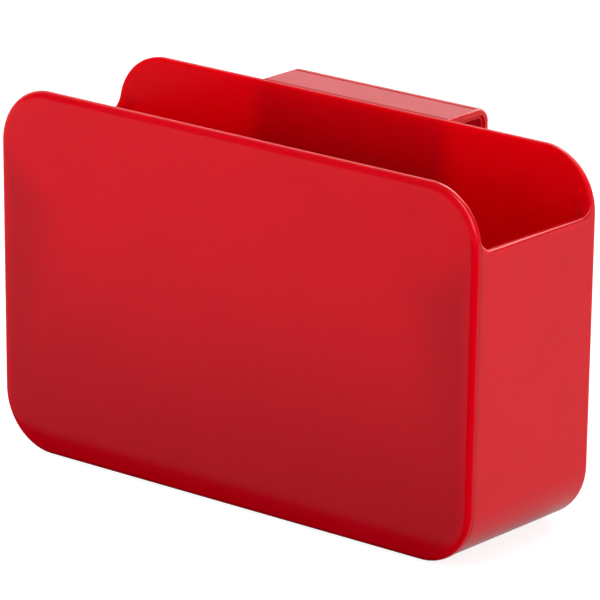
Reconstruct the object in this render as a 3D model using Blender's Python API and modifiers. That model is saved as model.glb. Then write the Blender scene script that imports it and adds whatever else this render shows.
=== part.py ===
"""A small open-topped waste bin that hangs on the edge of a board by a hook behind it.

The front of the bin faces -Y, +X is to its right and +Z is up. The origin is under the middle of the bin
and its hook, on the surface that the bin stands on. All sizes are in metres.
"""

import math

import bmesh
import bpy
from mathutils import Matrix, Vector

# Body of the bin
WIDTH = 0.240
HEIGHT = 0.150
DEPTH = 0.075
SIDE_TAPER = 0.0016
CORNER_RADIUS = 0.024
WALL = 0.0033
RIM_DROP = 0.0242
RIM_ROUND = 0.0010
BACK_RISE_RADIUS = 0.010
FRONT_RISE_RADIUS = 0.005
FRONT_RISE_CUT = 0.0008
INNER_FILLET = 0.008

# Front panel
PANEL_THICKNESS = 0.004
PANEL_EDGE_ROUND = 0.0032
PANEL_BACK_ROUND = 0.0005
RIB_THICKNESS = 0.0020
RIB_DEPTH = 0.005
RIB_BELOW_RIM = 0.006

# Hook
HOOK_REACH = 0.027
HOOK_WIDTH = 0.094
HOOK_DROP = 0.0003
HOOK_SHELL = 0.0027
HOOK_BEND = 0.006
HOOK_EDGE_ROUND = 0.0008
REAR_FLANGE = 0.042
FRONT_FLANGE = 0.080
FLANGE_THICKNESS = 0.0020
EAR_REACH = 0.006
EAR_HEIGHT = 0.022
EAR_CORNER = 0.002

# Soft liner inside the hook
LINER_THICKNESS = 0.0010
LINER_INSET = 0.0008
LINER_FRONT_LIMB = 0.032
LINER_REAR_SHORT = 0.0015

# Rails on the back wall that hold the hook
LIP_THICKNESS = 0.0016
LIP_COVER = 0.004
RAIL_WEB = 0.003
RAIL_BELOW_EAR_TOP = 0.040
RAIL_STOP = 0.003

# Soft bumpers low on the back wall
BUMPER_WIDTH = 0.026
BUMPER_HEIGHT = 0.014
BUMPER_CORNER = 0.004
BUMPER_FROM_SIDE = 0.040
BUMPER_BASE = 0.026
BUMPER_SEAT = 0.0010
BUMPER_ROUND = 0.0008

# Fits and fineness
FIT_GAP = 0.0003
OVERLAP = 0.001
CUT_MARGIN = 0.020
ARC_STEPS = 12
ROUND_STEPS = 3
FILLET_STEPS = 6
WELD = 0.000001
FLAT_ANGLE = math.radians(0.05)
SOFTEN_ANGLE = math.radians(40)
SMOOTH_ANGLE = math.radians(30)

# Places worked out from the sizes above
FRONT_Y = -(DEPTH + HOOK_REACH) / 2
SEAM_Y = FRONT_Y + PANEL_THICKNESS
MOUTH_Y = SEAM_Y + FIT_GAP
BACK_Y = FRONT_Y + DEPTH
INNER_BACK_Y = BACK_Y - WALL
HOOK_REAR_Y = BACK_Y + HOOK_REACH
SIDE_RIM_Z = HEIGHT - RIM_DROP
FLANGE_FRONT_Y = BACK_Y + FIT_GAP
FLANGE_BACK_Y = FLANGE_FRONT_Y + FLANGE_THICKNESS
LIP_FRONT_Y = FLANGE_BACK_Y + FIT_GAP
LIP_BACK_Y = LIP_FRONT_Y + LIP_THICKNESS
HOOK_TOP_Z = HEIGHT - HOOK_DROP
FLANGE_FOOT_Z = HOOK_TOP_Z - FRONT_FLANGE
EAR_TOP_Z = FLANGE_FOOT_Z + EAR_HEIGHT
EAR_HALF = HOOK_WIDTH / 2 + EAR_REACH
RAIL_FOOT_Z = EAR_TOP_Z - RAIL_BELOW_EAR_TOP
RAIL_TOP_Z = EAR_TOP_Z + FIT_GAP + RAIL_STOP

# How an outline drawn flat is turned into the front view, the side view or the plan: each view takes the
# drawing's own third axis to the axis that the outline is thickened along
FRONT_VIEW = Matrix(((1, 0, 0), (0, 0, 1), (0, 1, 0)))
SIDE_VIEW = Matrix(((0, 0, 1), (1, 0, 0), (0, 1, 0)))
PLAN = Matrix.Identity(3)

# Finishes: colour and roughness
RED = (0.60, 0.002, 0.006)
DEEP_RED = (0.42, 0.004, 0.008)
GLOSS = 0.22
SATIN = 0.38
SOFT = 0.65


def clear_scene():
    for item in list(bpy.data.objects):
        bpy.data.objects.remove(item)


def collection(name):
    group = bpy.data.collections.new(name)
    bpy.context.scene.collection.children.link(group)
    return group


def plastic(name, colour, roughness):
    material = bpy.data.materials.new(name)
    material.use_nodes = True
    shader = material.node_tree.nodes["Principled BSDF"]
    shader.inputs["Base Color"].default_value = (*colour, 1)
    shader.inputs["Roughness"].default_value = roughness
    shader.inputs["Metallic"].default_value = 0
    return material


def half_width(height):
    """Half the body's outer width at a height: the sides lean in towards the foot."""
    return WIDTH / 2 - SIDE_TAPER * (HEIGHT - height) / HEIGHT


def rounded_outline(corners, radii):
    """Points round a polygon, with each corner turned into an arc of its own radius."""
    points = []
    for index, corner in enumerate(corners):
        here = Vector(corner)
        back = (Vector(corners[index - 1]) - here).normalized()
        onward = (Vector(corners[(index + 1) % len(corners)]) - here).normalized()
        radius = radii[index]
        if radius <= 0:
            points.append(here)
            continue
        half_angle = back.angle(onward) / 2
        centre = here + (back + onward).normalized() * radius / math.sin(half_angle)
        spoke = here + back * radius / math.tan(half_angle) - centre
        turn = math.copysign(math.pi - 2 * half_angle, onward.cross(back))
        for step in range(ARC_STEPS + 1):
            angle = turn * step / ARC_STEPS
            points.append(centre + Matrix.Rotation(angle, 2) @ spoke)
    return points


def body_outline(inset, top, top_radius):
    """Front view of the body drawn in by inset, up to the height top."""
    foot_half = half_width(inset) - inset
    top_half = half_width(top) - inset
    corners = [(-foot_half, inset), (foot_half, inset), (top_half, top), (-top_half, top)]
    foot_radius = CORNER_RADIUS - inset
    return rounded_outline(corners, [foot_radius, foot_radius, top_radius, top_radius])


def solid(name, outline, near, far, view, home):
    """A closed mesh: the outline filled and thickened from near to far across its view."""
    curve = bpy.data.curves.new(name, "CURVE")
    curve.dimensions = "2D"
    curve.fill_mode = "BOTH"
    curve.extrude = (far - near) / 2
    spline = curve.splines.new("POLY")
    spline.points.add(len(outline) - 1)
    for point, (across, up) in zip(spline.points, outline):
        point.co = (across, up, 0, 1)
    spline.use_cyclic_u = True
    drawn = bpy.data.objects.new(name, curve)
    home.objects.link(drawn)
    graph = bpy.context.evaluated_depsgraph_get()
    mesh = bpy.data.meshes.new_from_object(drawn.evaluated_get(graph))
    bpy.data.objects.remove(drawn)
    bpy.data.curves.remove(curve)

    place = view @ Vector((0, 0, (near + far) / 2))
    shape = bmesh.new()
    shape.from_mesh(mesh)
    bmesh.ops.remove_doubles(shape, verts=shape.verts, dist=WELD)
    bmesh.ops.dissolve_limit(shape, angle_limit=FLAT_ANGLE, verts=shape.verts, edges=shape.edges)
    bmesh.ops.transform(shape, matrix=Matrix.Translation(place) @ view.to_4x4(), verts=shape.verts)
    bmesh.ops.recalc_face_normals(shape, faces=shape.faces)
    shape.to_mesh(mesh)
    shape.free()
    mesh.name = name
    item = bpy.data.objects.new(name, mesh)
    home.objects.link(item)
    return item


def round_edges(item, chosen, width, steps):
    """Rounds the edges of a mesh for which chosen(first point, second point) is true."""
    shape = bmesh.new()
    shape.from_mesh(item.data)
    edges = [edge for edge in shape.edges if chosen(edge.verts[0].co, edge.verts[1].co)]
    bmesh.ops.bevel(
        shape, geom=edges, offset=width, segments=steps, profile=0.5, affect="EDGES", clamp_overlap=True
    )
    shape.to_mesh(item.data)
    shape.free()


def at_depth(depth):
    """A test for edges that lie in the plane y = depth."""
    return lambda first, second: abs(first.y - depth) < WELD and abs(second.y - depth) < WELD


def helper(item):
    """Marks a cutter or a piece that is joined into another."""
    item.hide_render = True
    item.display_type = "WIRE"
    return item


def combine(target, tool, operation):
    modifier = target.modifiers.new(tool.name, "BOOLEAN")
    modifier.operation = operation
    modifier.solver = "EXACT"
    modifier.object = tool


def soften(target, width, steps):
    """Rounds every sharp edge of a finished shape."""
    modifier = target.modifiers.new("soft_edges", "BEVEL")
    modifier.width = width
    modifier.segments = steps
    modifier.limit_method = "ANGLE"
    modifier.angle_limit = SOFTEN_ANGLE


def finish(item, material):
    item.data.materials.clear()
    item.data.materials.append(material)
    item.data.shade_smooth()
    item.data.set_sharp_from_angle(angle=SMOOTH_ANGLE)


def make_tub(parts, cutters):
    """Back wall, sides and floor in one moulding, with the rails for the hook on its back."""
    outer = body_outline(0, HEIGHT, CORNER_RADIUS)
    tub = solid("tub", outer, MOUTH_Y - CUT_MARGIN, BACK_Y, FRONT_VIEW, parts)

    inner = body_outline(WALL, HEIGHT + CUT_MARGIN, 0)
    cavity = solid("cavity", inner, MOUTH_Y - 2 * CUT_MARGIN, INNER_BACK_Y, FRONT_VIEW, cutters)
    on_back = at_depth(INNER_BACK_Y)
    round_edges(
        cavity,
        lambda first, second: on_back(first, second) and min(first.z, second.z) < HEIGHT,
        INNER_FILLET,
        FILLET_STEPS,
    )
    combine(tub, helper(cavity), "DIFFERENCE")

    top = HEIGHT + CUT_MARGIN
    profile_front = MOUTH_Y - FRONT_RISE_CUT
    opening_profile = rounded_outline(
        [(profile_front, SIDE_RIM_Z), (INNER_BACK_Y, SIDE_RIM_Z), (INNER_BACK_Y, top), (profile_front, top)],
        [FRONT_RISE_RADIUS, BACK_RISE_RADIUS, 0, 0],
    )
    opening = solid("opening", opening_profile, -WIDTH, WIDTH, SIDE_VIEW, cutters)
    combine(tub, helper(opening), "DIFFERENCE")
    soften(tub, RIM_ROUND, ROUND_STEPS)

    mouth_outline = [(-WIDTH, -HEIGHT), (WIDTH, -HEIGHT), (WIDTH, 2 * HEIGHT), (-WIDTH, 2 * HEIGHT)]
    mouth = solid("mouth", mouth_outline, MOUTH_Y - 2 * CUT_MARGIN, MOUTH_Y, FRONT_VIEW, cutters)
    combine(tub, helper(mouth), "DIFFERENCE")

    for side in (-1, 1):
        combine(tub, make_rail(side, cutters), "UNION")
        combine(tub, make_bumper_seat(side, cutters), "DIFFERENCE")
    return tub


def make_rail(side, cutters):
    """An upright rail whose lip holds an ear of the hook and whose closed top the ear bears on."""
    web_inner = EAR_HALF + FIT_GAP
    web_outer = web_inner + RAIL_WEB
    lip_inner = web_inner - LIP_COVER
    section = [
        (web_outer, BACK_Y - OVERLAP),
        (web_outer, LIP_BACK_Y),
        (lip_inner, LIP_BACK_Y),
        (lip_inner, LIP_FRONT_Y),
        (web_inner, LIP_FRONT_Y),
        (web_inner, BACK_Y - OVERLAP),
    ]
    name = "rail_right" if side > 0 else "rail_left"
    section = [(side * across, depth) for across, depth in section]
    rail = solid(name, section, RAIL_FOOT_Z, RAIL_TOP_Z, PLAN, cutters)

    stop_inner = HOOK_WIDTH / 2 + FIT_GAP
    stop_outline = [
        (side * stop_inner, EAR_TOP_Z + FIT_GAP),
        (side * (web_outer - OVERLAP), EAR_TOP_Z + FIT_GAP),
        (side * (web_outer - OVERLAP), RAIL_TOP_Z),
        (side * stop_inner, RAIL_TOP_Z),
    ]
    stop = solid(name + "_stop", stop_outline, BACK_Y - OVERLAP, LIP_BACK_Y, FRONT_VIEW, cutters)
    combine(rail, helper(stop), "UNION")
    return helper(rail)


def bumper_outline(side, growth):
    half_across = BUMPER_WIDTH / 2 + growth
    half_up = BUMPER_HEIGHT / 2 + growth
    middle = side * (WIDTH / 2 - BUMPER_FROM_SIDE)
    corners = [
        (middle - half_across, BUMPER_BASE - half_up),
        (middle + half_across, BUMPER_BASE - half_up),
        (middle + half_across, BUMPER_BASE + half_up),
        (middle - half_across, BUMPER_BASE + half_up),
    ]
    return rounded_outline(corners, [BUMPER_CORNER + growth] * 4)


def make_bumper_seat(side, cutters):
    """The shallow recess in the back wall that a bumper is glued into."""
    name = "bumper_seat_right" if side > 0 else "bumper_seat_left"
    outline = bumper_outline(side, FIT_GAP)
    seat = solid(name, outline, BACK_Y - BUMPER_SEAT, BACK_Y + CUT_MARGIN, FRONT_VIEW, cutters)
    return helper(seat)


def make_bumper(side, parts):
    """A soft pad, as proud of the back wall as the rails are."""
    name = "bumper_right" if side > 0 else "bumper_left"
    near = BACK_Y - BUMPER_SEAT + FIT_GAP
    bumper = solid(name, bumper_outline(side, 0), near, LIP_BACK_Y, FRONT_VIEW, parts)
    round_edges(bumper, at_depth(LIP_BACK_Y), BUMPER_ROUND, ROUND_STEPS)
    return bumper


def make_front_panel(parts, cutters):
    """The face of the bin, with a rib behind it that fits inside the mouth of the tub."""
    panel = solid("front_panel", body_outline(0, HEIGHT, CORNER_RADIUS), FRONT_Y, SEAM_Y, FRONT_VIEW, parts)
    round_edges(panel, at_depth(FRONT_Y), PANEL_EDGE_ROUND, FILLET_STEPS)
    round_edges(panel, at_depth(SEAM_Y), PANEL_BACK_ROUND, 1)

    rib_top = SIDE_RIM_Z - RIB_BELOW_RIM
    rib_outer = body_outline(WALL + FIT_GAP, rib_top, 0)
    rib = solid("panel_rib", rib_outer, SEAM_Y - OVERLAP, SEAM_Y + RIB_DEPTH, FRONT_VIEW, cutters)
    rib_inner = body_outline(WALL + FIT_GAP + RIB_THICKNESS, rib_top + CUT_MARGIN, 0)
    hollow = solid("panel_rib_hollow", rib_inner, FRONT_Y, BACK_Y, FRONT_VIEW, cutters)
    combine(rib, helper(hollow), "DIFFERENCE")
    combine(panel, helper(rib), "UNION")
    return panel


def make_hook(parts, cutters):
    """A saddle bent over the edge of a board, with ears that slide up into the rails."""
    rear_inner = HOOK_REAR_Y - HOOK_SHELL
    plate_under = HOOK_TOP_Z - HOOK_SHELL
    rear_foot = HOOK_TOP_Z - REAR_FLANGE
    profile = rounded_outline(
        [
            (FLANGE_FRONT_Y, FLANGE_FOOT_Z),
            (FLANGE_BACK_Y, FLANGE_FOOT_Z),
            (FLANGE_BACK_Y, plate_under),
            (rear_inner, plate_under),
            (rear_inner, rear_foot),
            (HOOK_REAR_Y, rear_foot),
            (HOOK_REAR_Y, HOOK_TOP_Z),
            (FLANGE_FRONT_Y, HOOK_TOP_Z),
        ],
        [0, 0, 0, HOOK_BEND - HOOK_SHELL, HOOK_EDGE_ROUND, HOOK_EDGE_ROUND, HOOK_BEND, HOOK_EDGE_ROUND],
    )
    hook = solid("hook", profile, -HOOK_WIDTH / 2, HOOK_WIDTH / 2, SIDE_VIEW, parts)
    ears_outline = rounded_outline(
        [
            (-EAR_HALF, FLANGE_FOOT_Z),
            (EAR_HALF, FLANGE_FOOT_Z),
            (EAR_HALF, EAR_TOP_Z),
            (-EAR_HALF, EAR_TOP_Z),
        ],
        [EAR_CORNER, EAR_CORNER, 0, 0],
    )
    ears = solid("hook_ears", ears_outline, FLANGE_FRONT_Y, FLANGE_BACK_Y, FRONT_VIEW, cutters)
    combine(hook, helper(ears), "UNION")
    return hook


def make_liner(parts):
    """A soft strip that lines the hook where it holds the board."""
    outer_top = HOOK_TOP_Z - HOOK_SHELL - FIT_GAP
    outer_rear = HOOK_REAR_Y - HOOK_SHELL - FIT_GAP
    inner_top = outer_top - LINER_THICKNESS
    inner_rear = outer_rear - LINER_THICKNESS
    rear_foot = HOOK_TOP_Z - REAR_FLANGE + LINER_REAR_SHORT
    front_foot = HOOK_TOP_Z - LINER_FRONT_LIMB
    outer_bend = HOOK_BEND - HOOK_SHELL - FIT_GAP
    profile = rounded_outline(
        [
            (LIP_FRONT_Y, front_foot),
            (LIP_BACK_Y, front_foot),
            (LIP_BACK_Y, inner_top),
            (inner_rear, inner_top),
            (inner_rear, rear_foot),
            (outer_rear, rear_foot),
            (outer_rear, outer_top),
            (LIP_FRONT_Y, outer_top),
        ],
        [0, 0, 0, outer_bend - LINER_THICKNESS, 0, 0, outer_bend, 0],
    )
    half = HOOK_WIDTH / 2 - LINER_INSET
    return solid("hook_liner", profile, -half, half, SIDE_VIEW, parts)


def hang_on_slide(items, parts):
    """Parents the pieces that slide out of the rails to an empty in the middle of the rails."""
    slide = bpy.data.objects.new("hook_slide", None)
    slide.location = (0, (FLANGE_FRONT_Y + FLANGE_BACK_Y) / 2, EAR_TOP_Z)
    parts.objects.link(slide)
    bpy.context.view_layer.update()
    for item in items:
        item.parent = slide
        item.matrix_parent_inverse = slide.matrix_world.inverted()


def build():
    clear_scene()
    parts = collection("hang_on_waste_bin")
    cutters = collection("cutters")
    finish(make_tub(parts, cutters), plastic("tub_gloss_red", RED, GLOSS))
    finish(make_front_panel(parts, cutters), plastic("front_gloss_red", RED, GLOSS))
    hook = make_hook(parts, cutters)
    liner = make_liner(parts)
    finish(hook, plastic("hook_satin_red", RED, SATIN))
    finish(liner, plastic("liner_soft_red", DEEP_RED, SOFT))
    hang_on_slide([hook, liner], parts)
    for side in (-1, 1):
        finish(make_bumper(side, parts), plastic("bumper_soft_red", DEEP_RED, SOFT))


build()
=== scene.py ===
import math

import bmesh
import bpy
from mathutils import Matrix, Vector


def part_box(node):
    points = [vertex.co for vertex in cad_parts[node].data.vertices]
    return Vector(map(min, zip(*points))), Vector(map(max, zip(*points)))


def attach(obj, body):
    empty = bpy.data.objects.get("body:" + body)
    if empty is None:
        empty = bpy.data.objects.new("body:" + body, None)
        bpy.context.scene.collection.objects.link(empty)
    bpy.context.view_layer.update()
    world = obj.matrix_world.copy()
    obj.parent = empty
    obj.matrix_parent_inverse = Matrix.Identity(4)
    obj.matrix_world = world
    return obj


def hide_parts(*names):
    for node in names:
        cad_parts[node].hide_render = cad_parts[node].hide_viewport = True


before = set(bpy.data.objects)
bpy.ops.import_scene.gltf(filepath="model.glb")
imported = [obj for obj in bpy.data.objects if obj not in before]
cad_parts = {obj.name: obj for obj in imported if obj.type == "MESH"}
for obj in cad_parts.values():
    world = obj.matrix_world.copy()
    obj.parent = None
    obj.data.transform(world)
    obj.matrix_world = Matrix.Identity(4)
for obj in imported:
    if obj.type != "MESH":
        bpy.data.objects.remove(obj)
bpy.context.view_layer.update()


# The tub: back wall, two side walls and floor in one moulding of glossy red plastic, about 3 mm thick.
# The front panel is bonded over its open mouth, and two rails on its back carry the hook.
tub_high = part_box("tub")[1]
panel_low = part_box("front_panel")[0]
body_half = 0.120
body_top = tub_high.z
side_lean = 0.0016
corner_radius = 0.024
tub_foot_radius = 0.0246
corner_steps = 32
wall = 0.0033
rail_stand_off = 0.0042
back_y = tub_high.y - rail_stand_off
inner_back_y = back_y - wall
panel_depth = 0.004
seam_y = panel_low.y + panel_depth
seam_gap = 0.00006
mouth_y = seam_y + seam_gap
spare = 0.020
NEAR = 0.00002
STRAIGHT = 0.999


def start_block(name, low, high):
    """A box between two corners, open in edit mode."""
    bpy.ops.object.select_all(action="DESELECT")
    low, high = Vector(low), Vector(high)
    bpy.ops.mesh.primitive_cube_add(size=1, location=(low + high) / 2, scale=high - low)
    bpy.context.object.name = bpy.context.object.data.name = name
    bpy.ops.object.transform_apply(location=True, rotation=True, scale=True)
    bpy.ops.object.mode_set(mode="EDIT")
    return bpy.context.object


def close_block():
    """Leaves edit mode, and gives the piece that was open."""
    bpy.ops.object.mode_set(mode="OBJECT")
    return bpy.context.object


def pick(kind, wanted, among_picked=False):
    """Selects the faces, edges or points of the open piece that are wanted."""
    bpy.ops.mesh.select_mode(type=kind)
    mesh = bpy.context.object.data
    shape = bmesh.from_edit_mesh(mesh)
    shape.normal_update()
    parts = {"VERT": shape.verts, "EDGE": shape.edges, "FACE": shape.faces}[kind]
    chosen = [part for part in parts if (part.select or not among_picked) and wanted(part)]
    bpy.ops.mesh.select_all(action="DESELECT")
    for part in chosen:
        part.select_set(True)
    shape.select_flush_mode()
    bmesh.update_edit_mesh(mesh)


def runs_along(axis):
    """A test for a straight edge that runs along an axis."""
    def wanted(edge):
        run = (edge.verts[1].co - edge.verts[0].co).normalized()
        return abs(run[axis]) > STRAIGHT
    return wanted


def both(first, second):
    """A test that asks for two tests at once."""
    return lambda part: first(part) and second(part)


def round_picked(radius, steps):
    """Rounds the picked edges."""
    bpy.ops.mesh.bevel(offset=radius, segments=steps, affect="EDGES", clamp_overlap=False)


def lean_sides(foot_half, top_half, foot_z):
    """Draws the foot of a block in, so that its sides lean as the mould's do."""
    pick("VERT", lambda point: abs(point.co.z - foot_z) < NEAR)
    bpy.ops.transform.resize(value=(foot_half / top_half, 1, 1), center_override=(0, 0, foot_z))


# Outer block, with the four long corners rounded
tub = start_block("tub_shell", (-body_half, mouth_y - spare, 0), (body_half, back_y, body_top))
lean_sides(body_half - side_lean, body_half, 0)
pick("EDGE", both(runs_along(1), lambda edge: edge.verts[0].co.z > body_top / 2))
round_picked(corner_radius, corner_steps)
pick("EDGE", both(runs_along(1), lambda edge: abs(edge.verts[0].co.z) < NEAR))
round_picked(tub_foot_radius, corner_steps)
close_block()

# Room inside: open in front and on top, rounded where the walls meet the back
inner_fillet = 0.0055
inner_fillet_steps = 12
weld_distance = 0.000004
cavity_top = body_top + spare
cavity_top_half = body_half + side_lean * spare / body_top - wall
cavity_foot_half = body_half - side_lean * (body_top - wall) / body_top - wall
cavity_low = (-cavity_top_half, mouth_y - 2 * spare, wall)


def combine(piece, tool, operation):
    """Cuts a tool shape out of a piece, or joins it on, and clears the tool away."""
    change = piece.modifiers.new(tool.name, "BOOLEAN")
    change.operation = operation
    change.solver = "EXACT"
    change.object = tool
    bpy.context.view_layer.objects.active = piece
    bpy.ops.object.modifier_apply(modifier=change.name)
    bpy.data.objects.remove(tool)
    bpy.ops.object.mode_set(mode="EDIT")
    bpy.ops.mesh.select_all(action="SELECT")
    bpy.ops.mesh.remove_doubles(threshold=weld_distance)
    bpy.ops.mesh.dissolve_degenerate(threshold=weld_distance)
    bpy.ops.object.mode_set(mode="OBJECT")


def lies_at(axis, value):
    """A test for an edge that lies wholly at one place along an axis."""
    return lambda edge: all(abs(point.co[axis] - value) < NEAR for point in edge.verts)


def below_top(edge):
    """A test for an edge that begins below the top of the tub."""
    return min(point.co.z for point in edge.verts) < body_top


start_block("cavity", cavity_low, (cavity_top_half, inner_back_y, cavity_top))
lean_sides(cavity_foot_half, cavity_top_half, wall)
pick("EDGE", both(runs_along(1), lambda edge: edge.verts[0].co.z < body_top / 2))
round_picked(tub_foot_radius - wall, corner_steps)
pick("EDGE", both(lies_at(1, inner_back_y), below_top))
round_picked(inner_fillet, inner_fillet_steps)
combine(tub, close_block(), "DIFFERENCE")

# Low sides: they rise in a curve to the back wall, and a little to the front panel
rim_drop = 0.0242
side_rim_z = body_top - rim_drop
back_rise_radius = 0.005
back_rise_steps = 20
front_rise_radius = 0.008
front_rise_steps = 8
front_rise_cut = 0.0004
opening_low = (-2 * body_half, mouth_y - front_rise_cut, side_rim_z)
start_block("opening", opening_low, (2 * body_half, inner_back_y, cavity_top))
pick("EDGE", both(lies_at(2, side_rim_z), lies_at(1, inner_back_y)))
round_picked(back_rise_radius, back_rise_steps)
pick("EDGE", both(lies_at(2, side_rim_z), lies_at(1, mouth_y - front_rise_cut)))
round_picked(front_rise_radius, front_rise_steps)
combine(tub, close_block(), "DIFFERENCE")

# Every edge of the shell is rounded, the rim all the way up its rise, before the mouth is trimmed square
rim_round = 0.0011
rim_steps = 4
rise_centre = Vector((0, inner_back_y - back_rise_radius, side_rim_z + back_rise_radius))
cut_tolerance = NEAR / 10
FLAT_ANGLE = math.radians(0.1)
FADE_ANGLE = math.radians(11)
SHARP_ANGLE = math.radians(40)


def merge_flats():
    """Clears the edge lines that no longer mark a corner."""
    bpy.ops.mesh.select_all(action="SELECT")
    bpy.ops.mesh.dissolve_limited(angle_limit=FLAT_ANGLE)


def is_sharp(edge):
    """A test for an edge that is still a hard corner."""
    return edge.is_manifold and edge.calc_face_angle() > SHARP_ANGLE


def on_rise(edge):
    """A test for an edge of the rim where it curves up to the back wall."""
    def on_curve(point):
        spoke = point.co - rise_centre
        on_arc = abs(math.hypot(spoke.y, spoke.z) - back_rise_radius) < NEAR
        return on_arc and spoke.y > -NEAR and spoke.z < NEAR
    on_edge = all(on_curve(point) for point in edge.verts) and not runs_along(0)(edge)
    return on_edge and edge.calc_face_angle() > FADE_ANGLE


def behind_mouth(edge):
    """A test for an edge that reaches behind the front end of the opening."""
    return max(point.co.y for point in edge.verts) > mouth_y - front_rise_cut + NEAR


bpy.ops.object.mode_set(mode="EDIT")
merge_flats()
pick("EDGE", lambda edge: (is_sharp(edge) or on_rise(edge)) and behind_mouth(edge))
bpy.ops.mesh.bevel(
    offset=rim_round, segments=rim_steps, affect="EDGES", clamp_overlap=False, loop_slide=False
)
bpy.ops.mesh.select_all(action="SELECT")
bpy.ops.mesh.bisect(
    plane_co=(0, mouth_y, 0), plane_no=(0, 1, 0), use_fill=True, clear_inner=True, threshold=cut_tolerance
)

# Along the foot the mouth draws back a little from the panel, which leaves an open line round the corner
seam_line_top = 0.0236
foot_seam = 0.0010
foot_seam_steps = 24
mouth_round = 0.0002
mouth_round_steps = 2


def on_foot_seam(edge):
    """A test for an edge of the mouth along the foot, where the seam is open."""
    deepest = mouth_y + foot_seam + NEAR
    return all(point.co.y < deepest and point.co.z < seam_line_top for point in edge.verts)


for step in range(foot_seam_steps):
    level = seam_line_top * (1 - step / foot_seam_steps)
    pick("VERT", lambda point: point.co.y < mouth_y + foot_seam and point.co.z < level)
    bpy.ops.transform.translate(value=(0, foot_seam / foot_seam_steps, 0))
pick("EDGE", on_foot_seam)
round_picked(mouth_round, mouth_round_steps)
close_block()

# Rails on the back: a web, a lip that holds an ear of the hook, and a stop that the ear bears on
hook_low, hook_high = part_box("hook")
fit_gap = 0.0003
rail_foot_z, rail_top_z = 0.0517, 0.0950
rail_stop_height = 0.003
rail_stop_z = rail_top_z - rail_stop_height
web_width = 0.003
web_inner = hook_high.x + fit_gap
web_outer = web_inner + web_width
lip_thickness = 0.0016
lip_front_y = tub_high.y - lip_thickness
lip_cover = 0.004
stop_cover = 0.006
rail_round = 0.0004
rail_round_steps = 3
rail_sink = 0.0010
SQUARE_ON = 0.99


def slice_all(point, normal):
    """Cuts an edge line through the whole open piece."""
    bpy.ops.mesh.select_all(action="SELECT")
    bpy.ops.mesh.bisect(plane_co=point, plane_no=normal, threshold=cut_tolerance)


def faces_to(axis, sign, inside=lambda centre: True):
    """A test for a face that looks along an axis, with its middle where inside says."""
    return lambda face: face.normal[axis] * sign > SQUARE_ON and inside(face.calc_center_median())


def pull_picked(x=0, y=0, z=0):
    """Draws the picked faces out."""
    bpy.ops.mesh.extrude_region_move(TRANSFORM_OT_translate={"value": (x, y, z)})


for side in (-1, 1):
    web = sorted((side * web_inner, side * web_outer))
    start_block("rail", (web[0], back_y - rail_sink, rail_foot_z), (web[1], tub_high.y, rail_top_z))
    slice_all((0, lip_front_y, 0), (0, 1, 0))
    slice_all((0, 0, rail_stop_z), (0, 0, 1))
    pick("FACE", faces_to(0, -side, lambda centre: centre.y > lip_front_y or centre.z > rail_stop_z))
    pull_picked(x=-side * lip_cover)
    pick("FACE", lambda face: face.calc_center_median().z > rail_stop_z, among_picked=True)
    pull_picked(x=-side * (stop_cover - lip_cover))
    merge_flats()
    pick("EDGE", lies_at(1, tub_high.y))
    round_picked(rail_round, rail_round_steps)
    combine(tub, close_block(), "UNION")

# Shallow seats that the bumpers are glued into
bumper_middle = Vector((0.080, back_y, 0.026))
bumper_size = Vector((0.026, 0, 0.014))
bumper_corner = 0.004
bumper_corner_steps = 10
bumper_seat = 0.0010
seat_reach = bumper_size / 2 + Vector((fit_gap, bumper_seat, fit_gap))
SMOOTH_ANGLE = math.radians(35)


def smooth_finish(piece):
    """Smooth shading that keeps flat walls flat right up to their rounded edges."""
    bpy.ops.object.select_all(action="DESELECT")
    piece.select_set(True)
    bpy.context.view_layer.objects.active = piece
    bpy.ops.object.shade_smooth_by_angle(angle=SMOOTH_ANGLE)
    weighting = piece.modifiers.new("flat_walls", "WEIGHTED_NORMAL")
    weighting.keep_sharp = True
    bpy.ops.object.modifier_apply(modifier=weighting.name)


for side in (-1, 1):
    seat_middle = Vector((side * bumper_middle.x, back_y, bumper_middle.z))
    start_block("bumper_seat", seat_middle - seat_reach, seat_middle + seat_reach)
    pick("EDGE", runs_along(1))
    round_picked(bumper_corner + fit_gap, bumper_corner_steps)
    combine(tub, close_block(), "DIFFERENCE")
smooth_finish(tub)
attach(tub, "bin")
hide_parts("tub")

# The reds: every piece takes its tone, gloss and skin from three groups, to which it gives its own values
COLOUR, NUMBER = "NodeSocketColor", "NodeSocketFloat"


def add_node(tree, kind, **settings):
    """A node with its plain settings, and its unlinked inputs by name."""
    made = tree.nodes.new(kind)
    inputs = settings.pop("inputs", {})
    for name, value in settings.items():
        setattr(made, name, value)
    for name, value in inputs.items():
        made.inputs[name].default_value = value
    return made


def new_group(name, inputs, outputs):
    """A shader node group with named inputs and outputs, and its two end nodes."""
    tree = bpy.data.node_groups.new(name, "ShaderNodeTree")
    for label, (kind, value) in inputs.items():
        tree.interface.new_socket(name=label, in_out="INPUT", socket_type=kind).default_value = value
    for label, kind in outputs.items():
        tree.interface.new_socket(name=label, in_out="OUTPUT", socket_type=kind)
    return tree, add_node(tree, "NodeGroupInput"), add_node(tree, "NodeGroupOutput")


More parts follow.
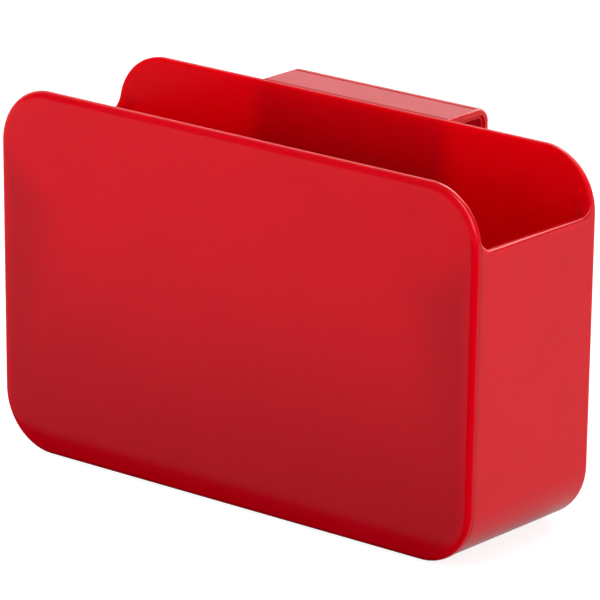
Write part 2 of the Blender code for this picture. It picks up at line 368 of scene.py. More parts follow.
# Moulded tone: pigment that lies a little deeper in some places, as it flowed into the mould
tone_group, tone_in, tone_out = new_group(
    "moulded_tone",
    {
        "Colour": (COLOUR, (0.7, 0.01, 0.02, 1)),
        "Deep Colour": (COLOUR, (0.6, 0.01, 0.02, 1)),
        "Cloud Scale": (NUMBER, 30),
        "Speck Scale": (NUMBER, 1400),
        "Speck Share": (NUMBER, 0.2),
    },
    {"Colour": COLOUR},
)
tone_place = add_node(tone_group, "ShaderNodeTexCoord")
tone_cloud = add_node(
    tone_group, "ShaderNodeTexNoise", inputs={"Detail": 3, "Roughness": 0.55, "Distortion": 0.6}
)
tone_speck = add_node(tone_group, "ShaderNodeTexNoise", inputs={"Detail": 1})
tone_share = add_node(tone_group, "ShaderNodeMix", data_type="FLOAT")
tone_spread = add_node(
    tone_group, "ShaderNodeMapRange", inputs={"From Min": 0.3, "From Max": 0.7, "To Min": 0, "To Max": 1}
)
tone_mix = add_node(tone_group, "ShaderNodeMix", data_type="RGBA")
for start, end in (
    (tone_place.outputs["Object"], tone_cloud.inputs["Vector"]),
    (tone_place.outputs["Object"], tone_speck.inputs["Vector"]),
    (tone_in.outputs["Cloud Scale"], tone_cloud.inputs["Scale"]),
    (tone_in.outputs["Speck Scale"], tone_speck.inputs["Scale"]),
    (tone_in.outputs["Speck Share"], tone_share.inputs["Factor"]),
    (tone_cloud.outputs["Fac"], tone_share.inputs["A"]),
    (tone_speck.outputs["Fac"], tone_share.inputs["B"]),
    (tone_share.outputs["Result"], tone_spread.inputs["Value"]),
    (tone_spread.outputs["Result"], tone_mix.inputs["Factor"]),
    (tone_in.outputs["Colour"], tone_mix.inputs["A"]),
    (tone_in.outputs["Deep Colour"], tone_mix.inputs["B"]),
    (tone_mix.outputs["Result"], tone_out.inputs["Colour"]),
):
    tone_group.links.new(start, end)

# Handled gloss: rubbed patches where hands and cloths have dulled or polished the surface
gloss_group, gloss_in, gloss_out = new_group(
    "handled_gloss",
    {"Roughness": (NUMBER, 0.2), "Spread": (NUMBER, 0.05), "Patch Scale": (NUMBER, 26)},
    {"Roughness": NUMBER},
)
patch_middle = 0.5
gloss_place = add_node(gloss_group, "ShaderNodeTexCoord")
gloss_patch = add_node(gloss_group, "ShaderNodeTexNoise", inputs={"Detail": 5, "Roughness": 0.6})
gloss_centre = add_node(gloss_group, "ShaderNodeMath", operation="SUBTRACT")
gloss_centre.inputs[1].default_value = patch_middle
gloss_add = add_node(gloss_group, "ShaderNodeMath", operation="MULTIPLY_ADD")
for start, end in (
    (gloss_place.outputs["Object"], gloss_patch.inputs["Vector"]),
    (gloss_in.outputs["Patch Scale"], gloss_patch.inputs["Scale"]),
    (gloss_patch.outputs["Fac"], gloss_centre.inputs[0]),
    (gloss_centre.outputs["Value"], gloss_add.inputs[0]),
    (gloss_in.outputs["Spread"], gloss_add.inputs[1]),
    (gloss_in.outputs["Roughness"], gloss_add.inputs[2]),
    (gloss_add.outputs["Value"], gloss_out.inputs["Roughness"]),
):
    gloss_group.links.new(start, end)

# Mould skin: the fine grain of the mould's steel over the long ripple of the cooled wall
skin_group, skin_in, skin_out = new_group(
    "mould_skin",
    {"Grain Scale": (NUMBER, 1500), "Ripple Scale": (NUMBER, 70), "Ripple Share": (NUMBER, 0.5)},
    {"Height": NUMBER},
)
skin_place = add_node(skin_group, "ShaderNodeTexCoord")
skin_grain = add_node(skin_group, "ShaderNodeTexNoise", inputs={"Detail": 2, "Roughness": 0.6})
skin_ripple = add_node(skin_group, "ShaderNodeTexNoise", inputs={"Detail": 0})
skin_mix = add_node(skin_group, "ShaderNodeMix", data_type="FLOAT")
for start, end in (
    (skin_place.outputs["Object"], skin_grain.inputs["Vector"]),
    (skin_place.outputs["Object"], skin_ripple.inputs["Vector"]),
    (skin_in.outputs["Grain Scale"], skin_grain.inputs["Scale"]),
    (skin_in.outputs["Ripple Scale"], skin_ripple.inputs["Scale"]),
    (skin_in.outputs["Ripple Share"], skin_mix.inputs["Factor"]),
    (skin_grain.outputs["Fac"], skin_mix.inputs["A"]),
    (skin_ripple.outputs["Fac"], skin_mix.inputs["B"]),
    (skin_mix.outputs["Result"], skin_out.inputs["Height"]),
):
    skin_group.links.new(start, end)


def moulded_material(name, tone, gloss, skin, skin_height):
    """A plastic or rubber whose colour, gloss and grain come from the three groups."""
    material = bpy.data.materials.new(name)
    material.use_nodes = True
    tree = material.node_tree
    shader = tree.nodes["Principled BSDF"]
    bump = add_node(tree, "ShaderNodeBump", inputs={"Strength": 1, "Distance": skin_height})
    for group, values, output, target in (
        (tone_group, tone, "Colour", shader.inputs["Base Color"]),
        (gloss_group, gloss, "Roughness", shader.inputs["Roughness"]),
        (skin_group, skin, "Height", bump.inputs["Height"]),
    ):
        placed = add_node(tree, "ShaderNodeGroup", node_tree=group, inputs=values)
        tree.links.new(placed.outputs[output], target)
    tree.links.new(bump.outputs["Normal"], shader.inputs["Normal"])
    return material, shader


# Glossy red: light that enters a thin wall glows on through it, red only
red_reach = (1, 0.04, 0.04)


def let_light_through(shader, share, depth):
    """Lets a share of the light into a red, and sets how deep it goes."""
    shader.inputs["Subsurface Weight"].default_value = share
    shader.inputs["Subsurface Radius"].default_value = red_reach
    shader.inputs["Subsurface Scale"].default_value = depth


tub_red, tub_shader = moulded_material(
    "glossy_red_tub",
    {"Colour": (0.74, 0.0006, 0.0105, 1), "Deep Colour": (0.69, 0.0004, 0.009, 1), "Cloud Scale": 24},
    {"Roughness": 0.17, "Spread": 0.06},
    {"Grain Scale": 1600, "Ripple Scale": 60, "Ripple Share": 0.7},
    skin_height=0.000006,
)
tub_shader.inputs["Specular IOR Level"].default_value = 0.42
let_light_through(tub_shader, share=1, depth=0.003)

# The inside comes off the mould's core, which is polished less than the outside. Its colour is painted darker
# than the outside's, as painted shade for the inside of the bin
shaded_inside_red, inside_shader = moulded_material(
    "satin_red_inside_painted_shade",
    {"Colour": (0.66, 0.0006, 0.008, 1), "Deep Colour": (0.60, 0.0004, 0.006, 1), "Cloud Scale": 24},
    {"Roughness": 0.30, "Spread": 0.08},
    {"Grain Scale": 1800, "Ripple Scale": 60, "Ripple Share": 0.6},
    skin_height=0.000008,
)
inside_shader.inputs["Specular IOR Level"].default_value = 0.12
let_light_through(inside_shader, share=1, depth=0.009)

# Painted shadow: the mouth's faces in the open seam along the foot, where the glue lies, are painted near
# black for the shade inside the seam
seam_shadow_red, seam_shadow_shader = moulded_material(
    "painted_seam_shadow",
    {"Colour": (0.05, 0.001, 0.002, 1), "Deep Colour": (0.03, 0.001, 0.001, 1), "Cloud Scale": 200},
    {"Roughness": 0.5, "Spread": 0.1},
    {"Grain Scale": 2000, "Ripple Scale": 300},
    skin_height=0.00001,
)
seam_shadow_shader.inputs["Specular IOR Level"].default_value = 0.2
OUTSIDE, INSIDE, SEAM_SHADOW = range(3)
SEAM_SHADOW_FACING = -0.9
tub.data.materials.clear()
for red in (tub_red, shaded_inside_red, seam_shadow_red):
    tub.data.materials.append(red)


def in_room(spot):
    """Whether a point lies inward of the middle of the tub's walls."""
    half = body_half - side_lean * (1 - spot.z / body_top)
    across = abs(spot.x) - half + tub_foot_radius
    under = tub_foot_radius - spot.z
    if across > 0 and under > 0:
        within = math.hypot(across, under) < tub_foot_radius - wall / 2
    else:
        within = across < tub_foot_radius - wall / 2 and spot.z > wall / 2
    return within and spot.y < back_y - wall / 2


# The mouth's faces in the open foot seam take the painted seam shadow; the rest are outside or inside
for face in tub.data.polygons:
    if face.normal.y < SEAM_SHADOW_FACING and face.center.y < mouth_y + foot_seam + NEAR:
        face.material_index = SEAM_SHADOW
    else:
        face.material_index = INSIDE if in_room(face.center) else OUTSIDE


# The front panel: the face of the bin, moulded by itself and bonded round the mouth of the tub.
# Its face is softly pillowed towards a rounded edge, and a rib behind it fits inside the tub.
edge_stand = 0.0004
edge_radius = 0.0030
edge_steps = 8
pillow_width = 0.015
pillow_depth = 0.0006
pillow_steps = 10
panel_back_round = 0.0002
panel_back_steps = 3
rib_inset = wall + fit_gap
rib_thickness = 0.0020
rib_depth = 0.005
rib_below_rim = 0.006
rib_top = side_rim_z - rib_below_rim

front = start_block("front_face", (-body_half, seam_y - edge_stand, 0), (body_half, seam_y, body_top))
lean_sides(body_half - side_lean, body_half, 0)
pick("EDGE", runs_along(1))
round_picked(corner_radius, corner_steps)
pick("FACE", faces_to(1, -1))
for step in range(edge_steps):
    start, end = (math.pi / 2 * (step + part) / edge_steps for part in (0, 1))
    bpy.ops.mesh.inset(
        thickness=edge_radius * (math.cos(start) - math.cos(end)),
        depth=edge_radius * (math.sin(end) - math.sin(start)),
    )
for step in range(pillow_steps):
    start, end = (1 - (step + part) / pillow_steps for part in (0, 1))
    bpy.ops.mesh.inset(
        thickness=pillow_width / pillow_steps,
        depth=pillow_depth * (start ** 2 - end ** 2),
    )

# The rib: a frame inset on the back of the panel, drawn out where it lies below the rim of the sides
pick("FACE", faces_to(1, 1))
bpy.ops.mesh.bisect(plane_co=(0, 0, rib_top), plane_no=(0, 0, 1), threshold=cut_tolerance)
pick("FACE", faces_to(1, 1))
bpy.ops.mesh.inset(thickness=rib_inset)
bpy.ops.mesh.inset(thickness=rib_thickness, use_select_inset=True)
pick("FACE", lambda face: face.calc_center_median().z < rib_top, among_picked=True)
pull_picked(y=rib_depth)
pick("EDGE", lies_at(1, seam_y + rib_depth))
round_picked(rail_round, rail_round_steps)


def on_back_corner(edge):
    """A test for the outer back edge, but for its upright sides, which close tight on the tub."""
    from_middle = abs((edge.verts[0].co.z + edge.verts[1].co.z) / 2 - body_top / 2)
    foot_or_top = from_middle > body_top / 2 - seam_line_top
    return lies_at(1, seam_y)(edge) and is_sharp(edge) and edge.is_convex and foot_or_top


pick("EDGE", on_back_corner)
round_picked(panel_back_round, panel_back_steps)
close_block()
smooth_finish(front)
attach(front, "bin")
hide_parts("front_panel")

face_red, face_shader = moulded_material(
    "glossy_red_face",
    {"Colour": (0.75, 0.0006, 0.0115, 1), "Deep Colour": (0.71, 0.0004, 0.0105, 1), "Cloud Scale": 18},
    {"Roughness": 0.20, "Spread": 0.06},
    {"Grain Scale": 1600, "Ripple Scale": 45, "Ripple Share": 0.7},
    skin_height=0.000006,
)
face_shader.inputs["Specular IOR Level"].default_value = 0.42
let_light_through(face_shader, share=1, depth=0.003)

# Painted shade: the face is painted darker where the tub's walls and floor stand close behind it than in its
# free field.
# The band of this painted shade fades out below the top, and leaves out the rounded edge at the left and
# right.
painted_shade_tone = (0.79, 0.78, 0.79, 1)
band_full, band_gone = 0.004, 0.038
band_blend = 0.012
band_foot_share = 0.33
band_end_foot, band_end_top = 0.105, 0.145
band_end_push = 0.05
edge_from, edge_to = 0.0165, 0.0235
edge_end_from, edge_end_to = 0.096, 0.108
face_tree = face_red.node_tree
face_place = add_node(face_tree, "ShaderNodeTexCoord")
face_axes = add_node(face_tree, "ShaderNodeSeparateXYZ")
face_out = add_node(face_tree, "ShaderNodeMath", operation="ABSOLUTE")
face_side = add_node(face_tree, "ShaderNodeMath", operation="SUBTRACT")
face_side.inputs[0].default_value = body_half - wall
face_rim = add_node(
    face_tree,
    "ShaderNodeMapRange",
    inputs={"From Min": band_end_foot, "From Max": band_end_top, "To Min": 0, "To Max": band_end_push},
)
face_clear = add_node(face_tree, "ShaderNodeMath", operation="ADD")
face_rise = add_node(face_tree, "ShaderNodeMath", operation="MULTIPLY")
face_rise.inputs[1].default_value = band_foot_share
face_near = add_node(face_tree, "ShaderNodeMath", operation="SMOOTH_MIN")
face_near.inputs[2].default_value = band_blend
face_field = add_node(
    face_tree,
    "ShaderNodeMapRange",
    interpolation_type="SMOOTHSTEP",
    inputs={"From Min": band_full, "From Max": band_gone, "To Min": 0, "To Max": 1},
)
face_fold = add_node(face_tree, "ShaderNodeVectorMath", operation="SUBTRACT")
face_fold.inputs[1].default_value = (0, 0, body_top / 2)
face_half = add_node(face_tree, "ShaderNodeVectorMath", operation="ABSOLUTE")
face_past = add_node(face_tree, "ShaderNodeVectorMath", operation="SUBTRACT")
face_past.inputs[1].default_value = (body_half - corner_radius, 1, body_top / 2 - corner_radius)
face_only = add_node(face_tree, "ShaderNodeVectorMath", operation="MAXIMUM")
face_only.inputs[1].default_value = (0, 0, 0)
face_reach = add_node(face_tree, "ShaderNodeVectorMath", operation="LENGTH")
face_edge = add_node(face_tree, "ShaderNodeMapRange", inputs={"From Min": edge_from, "From Max": edge_to})
face_end = add_node(
    face_tree, "ShaderNodeMapRange", inputs={"From Min": edge_end_from, "From Max": edge_end_to}
)
face_lit = add_node(face_tree, "ShaderNodeMath", operation="MULTIPLY")
face_full = add_node(face_tree, "ShaderNodeMath", operation="MAXIMUM")
# Painted shade: the face's colour is multiplied by the band's darker tone near the walls and floor behind it
painted_shade_darken = add_node(
    face_tree, "ShaderNodeMix", data_type="RGBA", blend_type="MULTIPLY", inputs={"Factor": 1}
)
painted_shade_mix = add_node(
    face_tree, "ShaderNodeMix", data_type="RGBA", inputs={"A": painted_shade_tone, "B": (1, 1, 1, 1)}
)
face_colour = next(node for node in face_tree.nodes if node.type == "GROUP" and node.node_tree == tone_group)
for start, end in (
    (face_place.outputs["Object"], face_axes.inputs["Vector"]),
    (face_axes.outputs["X"], face_out.inputs[0]),
    (face_out.outputs["Value"], face_side.inputs[1]),
    (face_side.outputs["Value"], face_clear.inputs[0]),
    (face_axes.outputs["Z"], face_rim.inputs["Value"]),
    (face_rim.outputs["Result"], face_clear.inputs[1]),
    (face_clear.outputs["Value"], face_near.inputs[0]),
    (face_axes.outputs["Z"], face_rise.inputs[0]),
    (face_rise.outputs["Value"], face_near.inputs[1]),
    (face_near.outputs["Value"], face_field.inputs["Value"]),
    (face_place.outputs["Object"], face_fold.inputs[0]),
    (face_fold.outputs["Vector"], face_half.inputs[0]),
    (face_half.outputs["Vector"], face_past.inputs[0]),
    (face_past.outputs["Vector"], face_only.inputs[0]),
    (face_only.outputs["Vector"], face_reach.inputs[0]),
    (face_reach.outputs["Value"], face_edge.inputs["Value"]),
    (face_out.outputs["Value"], face_end.inputs["Value"]),
    (face_edge.outputs["Result"], face_lit.inputs[0]),
    (face_end.outputs["Result"], face_lit.inputs[1]),
    (face_field.outputs["Result"], face_full.inputs[0]),
    (face_lit.outputs["Value"], face_full.inputs[1]),
    (face_full.outputs["Value"], painted_shade_mix.inputs["Factor"]),
    (painted_shade_mix.outputs["Result"], painted_shade_darken.inputs["B"]),
    (face_colour.outputs["Colour"], painted_shade_darken.inputs["A"]),
    (painted_shade_darken.outputs["Result"], face_shader.inputs["Base Color"]),
):
    face_tree.links.new(start, end)
front.data.materials.append(face_red)


# The bumpers: two soft red pads glued into seats low on the back, as proud as the rails.
# They keep the bin upright against the board that it hangs on.
pad_round = 0.0008
pad_round_steps = 5
pad_low = bumper_middle - bumper_size / 2 - Vector((0, bumper_seat - fit_gap, 0))
pad_high = bumper_middle + bumper_size / 2 + Vector((0, rail_stand_off, 0))
right_pad = start_block("right_pad", pad_low, pad_high)
pick("EDGE", runs_along(1))
round_picked(bumper_corner, bumper_corner_steps)
pick("EDGE", lies_at(1, pad_high.y))
round_picked(pad_round, pad_round_steps)
close_block()
smooth_finish(right_pad)
bpy.ops.object.duplicate()
left_pad = bpy.context.object
left_pad.name = left_pad.data.name = "left_pad"
bpy.ops.transform.translate(value=(-2 * bumper_middle.x, 0, 0))
bpy.ops.object.transform_apply(location=True, rotation=True, scale=True)
pad_red, pad_shader = moulded_material(
    "soft_red_pad",
    {
        "Colour": (0.46, 0.006, 0.012, 1),
        "Deep Colour": (0.38, 0.004, 0.009, 1),
        "Cloud Scale": 90,
        "Speck Share": 0.4,
    },
    {"Roughness": 0.62, "Spread": 0.12, "Patch Scale": 120},
    {"Grain Scale": 2400, "Ripple Scale": 300, "Ripple Share": 0.3},
    skin_height=0.00004,
)
let_light_through(pad_shader, share=0.7, depth=0.005)
for pad, name in ((left_pad, "bumper_left"), (right_pad, "bumper_right")):
    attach(pad, "bin")
    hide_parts(name)
    pad.data.materials.append(pad_red)


# The hook: a satin red saddle moulded in one, bent over the edge of a board behind the bin.
# Its front flange runs down behind the back wall, with two ears that slide up into the rails.
hook_half = 0.047
hook_shell = 0.0027
hook_bend = 0.006
hook_bend_steps = 16
hook_inner_steps = 12
rear_inner_y = hook_high.y - hook_shell
plate_under = hook_high.z - hook_shell
rear_drop = 0.042
rear_foot_z = hook_high.z - rear_drop
flange_thickness = 0.0020
flange_back_y = hook_low.y + flange_thickness
ear_height = 0.022
ear_top_z = hook_low.z + ear_height
ear_corner = 0.002
ear_corner_steps = 8
hook_end_round = 0.0013
hook_end_steps = 6
hook_edge_round = 0.0004
hook_edge_steps = 3
bend_sag = 0.0002

hook_start = (-hook_half, hook_low.y, plate_under)
hook = start_block("hook_saddle", hook_start, (hook_half, hook_high.y, hook_high.z))
slice_all((0, flange_back_y, 0), (0, 1, 0))
slice_all((0, rear_inner_y, 0), (0, 1, 0))
pick("FACE", faces_to(2, -1, lambda centre: centre.y > rear_inner_y))
pull_picked(z=rear_foot_z - plate_under)
pick("FACE", faces_to(2, -1, lambda centre: centre.y < flange_back_y))
pull_picked(z=ear_top_z - plate_under)
pull_picked(z=hook_low.z - ear_top_z)
for side in (-1, 1):
    pick("FACE", faces_to(0, side, lambda centre: centre.z < ear_top_z and centre.y < flange_back_y))
    pull_picked(x=side * (hook_high.x - hook_half))
merge_flats()
pick("EDGE", both(runs_along(1), lambda edge: edge.verts[0].co.z < hook_low.z + NEAR))
round_picked(ear_corner, ear_corner_steps)
pick("EDGE", both(lies_at(1, hook_high.y), lies_at(2, hook_high.z)))
round_picked(hook_bend, hook_bend_steps)
pick("EDGE", both(lies_at(1, rear_inner_y), lies_at(2, plate_under)))
round_picked(hook_bend - hook_shell, hook_inner_steps)


def on_saddle(point):
    """Whether a point lies on the outer skin of the top plate, the bend or the rear flange."""
    up = point.co.z - (hook_high.z - hook_bend)
    along = point.co.y - (hook_high.y - hook_bend)
    if up > 0 and along > 0:
        return math.hypot(up, along) > hook_bend - bend_sag
    return up > hook_bend - NEAR or along > hook_bend - NEAR


def at_saddle_end(edge):
    """A test for an edge of the saddle's outer skin at its left or right end."""
    return all(on_saddle(point) and abs(abs(point.co.x) - hook_half) < NEAR for point in edge.verts)


pick("EDGE", both(is_sharp, at_saddle_end))
round_picked(hook_end_round, hook_end_steps)
pick("EDGE", is_sharp)
round_picked(hook_edge_round, hook_edge_steps)
close_block()

# A fine line sunk across the top plate, in front of the bend
groove_y = 0.0435
groove_width = 0.0012
groove_depth = 0.00035
groove_half = 0.0455
groove_round = groove_depth * 0.8
groove_round_steps = 3
groove_low = (-groove_half, groove_y - groove_width / 2, hook_high.z - groove_depth)
groove_high = (groove_half, groove_y + groove_width / 2, hook_high.z + groove_depth)
start_block("groove", groove_low, groove_high)
pick("EDGE", lies_at(2, hook_high.z - groove_depth))
round_picked(groove_round, groove_round_steps)
combine(hook, close_block(), "DIFFERENCE")
smooth_finish(hook)
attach(hook, "hanger")
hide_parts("hook")
hook_red, hook_shader = moulded_material(
    "satin_red_hook",
    {
        "Colour": (0.74, 0.0012, 0.009, 1),
        "Deep Colour": (0.62, 0.0008, 0.007, 1),
        "Cloud Scale": 60,
        "Speck Share": 0.5,
    },
    {"Roughness": 0.34, "Spread": 0.10, "Patch Scale": 60},
    {"Grain Scale": 1500, "Ripple Scale": 200, "Ripple Share": 0.2},
    skin_height=0.00005,
)
hook_shader.inputs["Specular IOR Level"].default_value = 0.56
let_light_through(hook_shader, share=0.6, depth=0.003)
hook.data.materials.clear()
hook.data.materials.append(hook_red)


# The hook's liner: a soft red strip inside the saddle, where it holds the board.
# It is a thin moulding pressed into the hook, and shows as a second layer at the hook's open ends.
liner_low, liner_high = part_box("hook_liner")
liner_thickness = 0.0010
liner_bend = 0.0030
liner_bend_steps = 10
liner_under = liner_high.z - liner_thickness
liner_inner_y = liner_high.y - liner_thickness
limb_thickness = 0.0016
limb_back_y = liner_low.y + limb_thickness
limb_drop = 0.032
limb_foot_z = hook_high.z - limb_drop
liner_round = 0.0002
liner_round_steps = 3

liner = start_block("liner_strip", (liner_low.x, liner_low.y, liner_under), liner_high)
slice_all((0, limb_back_y, 0), (0, 1, 0))
slice_all((0, liner_inner_y, 0), (0, 1, 0))
pick("FACE", faces_to(2, -1, lambda centre: centre.y > liner_inner_y))
pull_picked(z=liner_low.z - liner_high.z + liner_thickness)
pick("FACE", faces_to(2, -1, lambda centre: centre.y < limb_back_y))
pull_picked(z=limb_foot_z - liner_high.z + liner_thickness)
merge_flats()
pick("EDGE", both(lies_at(1, liner_high.y), lies_at(2, liner_high.z)))
round_picked(liner_bend, liner_bend_steps)
pick("EDGE", both(lies_at(1, liner_inner_y), lies_at(2, liner_under)))
round_picked(liner_bend - liner_thickness, liner_bend_steps)
pick("EDGE", is_sharp)
round_picked(liner_round, liner_round_steps)
close_block()
smooth_finish(liner)
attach(liner, "hanger")
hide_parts("hook_liner")
liner_red = moulded_material(
    "soft_red_liner",
    {
        "Colour": (0.66, 0.003, 0.010, 1),
        "Deep Colour": (0.56, 0.002, 0.008, 1),
        "Cloud Scale": 90,
        "Speck Share": 0.4,
    },
    {"Roughness": 0.6, "Spread": 0.12, "Patch Scale": 120},
    {"Grain Scale": 2400, "Ripple Scale": 300, "Ripple Share": 0.3},
    skin_height=0.00004,
)[0]
liner.data.materials.append(liner_red)


# The floor: a plain white sheet that the bin stands on. Its glow is for the eye and the gloss alone, and is
# weaker close to the bin, where the lamps add the rest and a faint shadow shows at the bin's foot.
floor_size = 40
floor_drop = 0.0002
floor_white = (0.42, 0.42, 0.42, 1)
floor_glow = 0.8
floor_close, floor_away = 0.6, 1.1
bpy.ops.object.select_all(action="DESELECT")
bpy.ops.mesh.primitive_plane_add(size=floor_size, location=(0, 0, -floor_drop))
floor = bpy.context.object
floor.name = floor.data.name = "floor"
floor_material = bpy.data.materials.new("white_sheet")
floor_material.use_nodes = True
floor_tree = floor_material.node_tree
floor_shader = floor_tree.nodes["Principled BSDF"]
floor_shader.inputs["Base Color"].default_value = floor_white
floor_shader.inputs["Roughness"].default_value = 0.9
floor_shader.inputs["Specular IOR Level"].default_value = 0
floor_shader.inputs["Emission Color"].default_value = (1, 1, 1, 1)


def seen_directly(tree):
    """One for rays from the camera, off gloss or through glass, none for light that falls on the bin."""
    path = add_node(tree, "ShaderNodeLightPath")
    camera_or_gloss = add_node(tree, "ShaderNodeMath", operation="ADD")
    any_of_them = add_node(tree, "ShaderNodeMath", operation="ADD", use_clamp=True)
    tree.links.new(path.outputs["Is Camera Ray"], camera_or_gloss.inputs[0])
    tree.links.new(path.outputs["Is Glossy Ray"], camera_or_gloss.inputs[1])
    tree.links.new(camera_or_gloss.outputs["Value"], any_of_them.inputs[0])
    tree.links.new(path.outputs["Is Transmission Ray"], any_of_them.inputs[1])
    return any_of_them.outputs["Value"]


floor_place = add_node(floor_tree, "ShaderNodeTexCoord")
floor_far = add_node(floor_tree, "ShaderNodeVectorMath", operation="LENGTH")
floor_reach = add_node(
    floor_tree,
    "ShaderNodeMapRange",
    inputs={"From Min": floor_close, "From Max": floor_away, "To Min": floor_glow, "To Max": 1},
)
floor_strength = add_node(floor_tree, "ShaderNodeMath", operation="MULTIPLY")
for start, end in (
    (floor_place.outputs["Object"], floor_far.inputs[0]),
    (floor_far.outputs["Value"], floor_reach.inputs["Value"]),
    (floor_reach.outputs["Result"], floor_strength.inputs[0]),
    (seen_directly(floor_tree), floor_strength.inputs[1]),
    (floor_strength.outputs["Value"], floor_shader.inputs["Emission Strength"]),
):
    floor_tree.links.new(start, end)
floor.data.materials.append(floor_material)


# The black flag: a dark card laid over the floor, seen only in the gloss of the bin. It is full on the
# camera's side of the near corner and along the foot of the face, and half open in front and at the side.
flag_size = 6
flag_drop = 0.0001
flag_corner = (body_half, mouth_y, 0)
flag_facing = (0.636, -0.771, 0)
flag_turn_from, flag_turn_full = 0.25, 0.65
flag_far_y, flag_foot_y, flag_foot_full_y = mouth_y - 0.30, mouth_y - 0.045, mouth_y - 0.018
flag_far_cover, flag_foot_cover, flag_side_cover = 0.64, 0.78, 0.55
bpy.ops.object.select_all(action="DESELECT")
bpy.ops.mesh.primitive_plane_add(size=flag_size, location=(0, 0, -flag_drop))
flag = bpy.context.object
flag.name = flag.data.name = "black_flag"
flag.visible_camera = flag.visible_diffuse = flag.visible_shadow = flag.visible_transmission = False
flag_material = bpy.data.materials.new("black_flag")
flag_material.use_nodes = True
flag_tree = flag_material.node_tree
flag_shader = flag_tree.nodes["Principled BSDF"]
flag_shader.inputs["Base Color"].default_value = (0, 0, 0, 1)
flag_shader.inputs["Specular IOR Level"].default_value = 0
flag_place = add_node(flag_tree, "ShaderNodeTexCoord")
flag_from = add_node(flag_tree, "ShaderNodeVectorMath", operation="SUBTRACT")
flag_from.inputs[1].default_value = flag_corner
flag_way = add_node(flag_tree, "ShaderNodeVectorMath", operation="NORMALIZE")
flag_along = add_node(flag_tree, "ShaderNodeVectorMath", operation="DOT_PRODUCT")
flag_along.inputs[1].default_value = flag_facing
flag_near = add_node(
    flag_tree, "ShaderNodeMapRange", inputs={"From Min": flag_turn_from, "From Max": flag_turn_full}
)
flag_axes = add_node(flag_tree, "ShaderNodeSeparateXYZ")
flag_front = add_node(
    flag_tree,
    "ShaderNodeMapRange",
    inputs={
        "From Min": flag_far_y,
        "From Max": flag_foot_y,
        "To Min": flag_far_cover,
        "To Max": flag_foot_cover,
    },
)
flag_foot = add_node(
    flag_tree, "ShaderNodeMapRange", inputs={"From Min": flag_foot_y, "From Max": flag_foot_full_y}
)
flag_ahead = add_node(flag_tree, "ShaderNodeMath", operation="MAXIMUM")
flag_behind = add_node(flag_tree, "ShaderNodeMath", operation="GREATER_THAN")
flag_behind.inputs[1].default_value = mouth_y
flag_side = add_node(flag_tree, "ShaderNodeMix", data_type="FLOAT", inputs={"B": flag_side_cover})
flag_cover = add_node(flag_tree, "ShaderNodeMath", operation="MAXIMUM")
for start, end in (
    (flag_place.outputs["Object"], flag_from.inputs[0]),
    (flag_from.outputs["Vector"], flag_way.inputs[0]),
    (flag_way.outputs["Vector"], flag_along.inputs[0]),
    (flag_along.outputs["Value"], flag_near.inputs["Value"]),
    (flag_place.outputs["Object"], flag_axes.inputs["Vector"]),
    (flag_axes.outputs["Y"], flag_front.inputs["Value"]),
    (flag_axes.outputs["Y"], flag_foot.inputs["Value"]),
    (flag_axes.outputs["Y"], flag_behind.inputs[0]),
    (flag_front.outputs["Result"], flag_ahead.inputs[0]),
    (flag_foot.outputs["Result"], flag_ahead.inputs[1]),
    (flag_behind.outputs["Value"], flag_side.inputs["Factor"]),
    (flag_ahead.outputs["Value"], flag_side.inputs["A"]),
    (flag_side.outputs["Result"], flag_cover.inputs[0]),
    (flag_near.outputs["Result"], flag_cover.inputs[1]),
    (flag_cover.outputs["Value"], flag_shader.inputs["Alpha"]),
):
    flag_tree.links.new(start, end)
flag.data.materials.append(flag_material)


# The lamps: soft boxes round the bin, all turned to its middle. Three of them don't show in its gloss.
# The strip works the other way: it shows in gloss alone, as the highlight along the rounded edge of the face.
lamp_aim = (0, 0, 0.08)
box_side = 1.0


def add_lamp(name, place, width, height, strength):
    """A soft box at a place, turned towards the middle of the bin."""
    lamp = bpy.data.objects.new(name, bpy.data.lights.new(name, "AREA"))
    bpy.context.scene.collection.objects.link(lamp)
    lamp.data.shape = "RECTANGLE"
    lamp.data.size, lamp.data.size_y = width, height
    lamp.data.energy = strength
    lamp.location = place
    lamp.rotation_euler = (Vector(place) - Vector(lamp_aim)).to_track_quat("Z", "Y").to_euler()
    lamp.visible_camera = False
    return lamp


front_box = add_lamp("front_box", (-0.06, -0.30, 0.195), width=0.70, height=0.10, strength=0.77)
left_box = add_lamp("left_box", (-1.13, 0, 0.73), box_side, box_side, strength=11.0)
right_box = add_lamp("right_box", (1.26, -0.22, 0.31), box_side, box_side, strength=14.2)
for lamp in (front_box, left_box, right_box):
    lamp.visible_glossy = False
edge_strip = add_lamp("edge_strip", (0.90, -0.13, 0.98), width=0.3, height=1.6, strength=6.8)
edge_strip.visible_diffuse = False
add_lamp("back_box", (0, 0.95, 0.97), box_side, box_side, strength=11.2)
add_lamp("low_back_box", (0, 1.28, 0.31), box_side, box_side, strength=9.5)


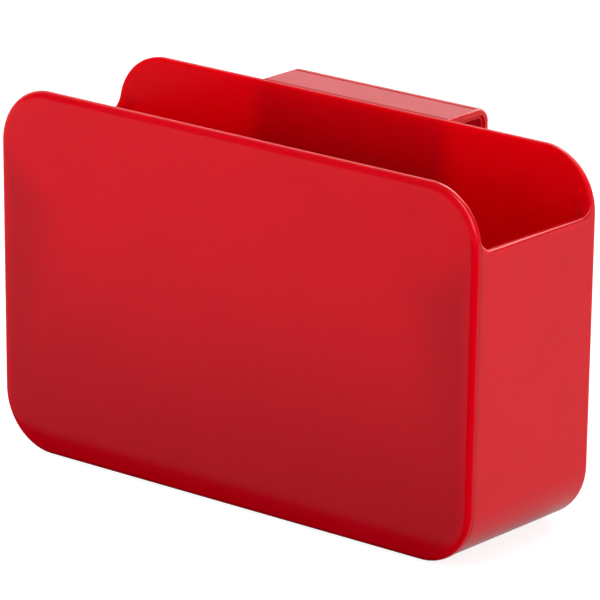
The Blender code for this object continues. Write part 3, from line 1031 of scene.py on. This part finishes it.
# The camera: a long lens that looks down a little on the bin from its right front.
# It is aimed at a point near the bin's middle, turned about it, dropped and rolled slightly.
view_turn = math.radians(39.491)
view_drop = math.radians(17.242)
view_roll = math.radians(0.519)
view_distance = 2.1087
view_end = 50
view_aim = Vector((0.00178, -0.00954, 0.07523))
sensor_width = 36
lens_length = 323
camera = bpy.data.objects.new("camera", bpy.data.cameras.new("camera"))
bpy.context.scene.collection.objects.link(camera)
camera.data.sensor_width = sensor_width
camera.data.lens = lens_length
camera.data.clip_end = view_end
turn = Matrix.Rotation(view_turn, 4, "Z") @ Matrix.Rotation(math.pi / 2 - view_drop, 4, "X")
turn = turn @ Matrix.Rotation(view_roll, 4, "Z")
camera.matrix_world = Matrix.Translation(view_aim) @ turn @ Matrix.Translation((0, 0, view_distance))
bpy.context.scene.camera = camera


# The studio round the bin: white where the camera sees it, and a weak even light on the bin.
# In the bin's gloss it is white straight behind the bin and nearly dark everywhere else.
ambient = 0.03
gloss_white, gloss_dark = -0.85, -0.5
gloss_least = 0.04
world = bpy.data.worlds.new("studio")
bpy.context.scene.world = world
world.use_nodes = True
world_tree = world.node_tree
world_light = world_tree.nodes["Background"]
world_light.inputs["Color"].default_value = (1, 1, 1, 1)
world_place = add_node(world_tree, "ShaderNodeTexCoord")
world_along = add_node(world_tree, "ShaderNodeVectorMath", operation="DOT_PRODUCT")
world_along.inputs[1].default_value = flag_facing
world_back = add_node(
    world_tree,
    "ShaderNodeMapRange",
    inputs={"From Min": gloss_white, "From Max": gloss_dark, "To Min": 1, "To Max": gloss_least},
)
world_path = add_node(world_tree, "ShaderNodeLightPath")
world_gloss = add_node(world_tree, "ShaderNodeMath", operation="MULTIPLY_ADD")
world_seen = add_node(world_tree, "ShaderNodeMath", operation="ADD", use_clamp=True)
world_strength = add_node(world_tree, "ShaderNodeMapRange", inputs={"To Min": ambient, "To Max": 1})
for start, end in (
    (world_place.outputs["Generated"], world_along.inputs[0]),
    (world_along.outputs["Value"], world_back.inputs["Value"]),
    (world_back.outputs["Result"], world_gloss.inputs[0]),
    (world_path.outputs["Is Glossy Ray"], world_gloss.inputs[1]),
    (world_path.outputs["Is Camera Ray"], world_gloss.inputs[2]),
    (world_gloss.outputs["Value"], world_seen.inputs[0]),
    (world_path.outputs["Is Transmission Ray"], world_seen.inputs[1]),
    (world_seen.outputs["Value"], world_strength.inputs["Value"]),
    (world_strength.outputs["Result"], world_light.inputs["Strength"]),
):
    world_tree.links.new(start, end)

bpy.context.scene.view_settings.view_transform = "Standard"
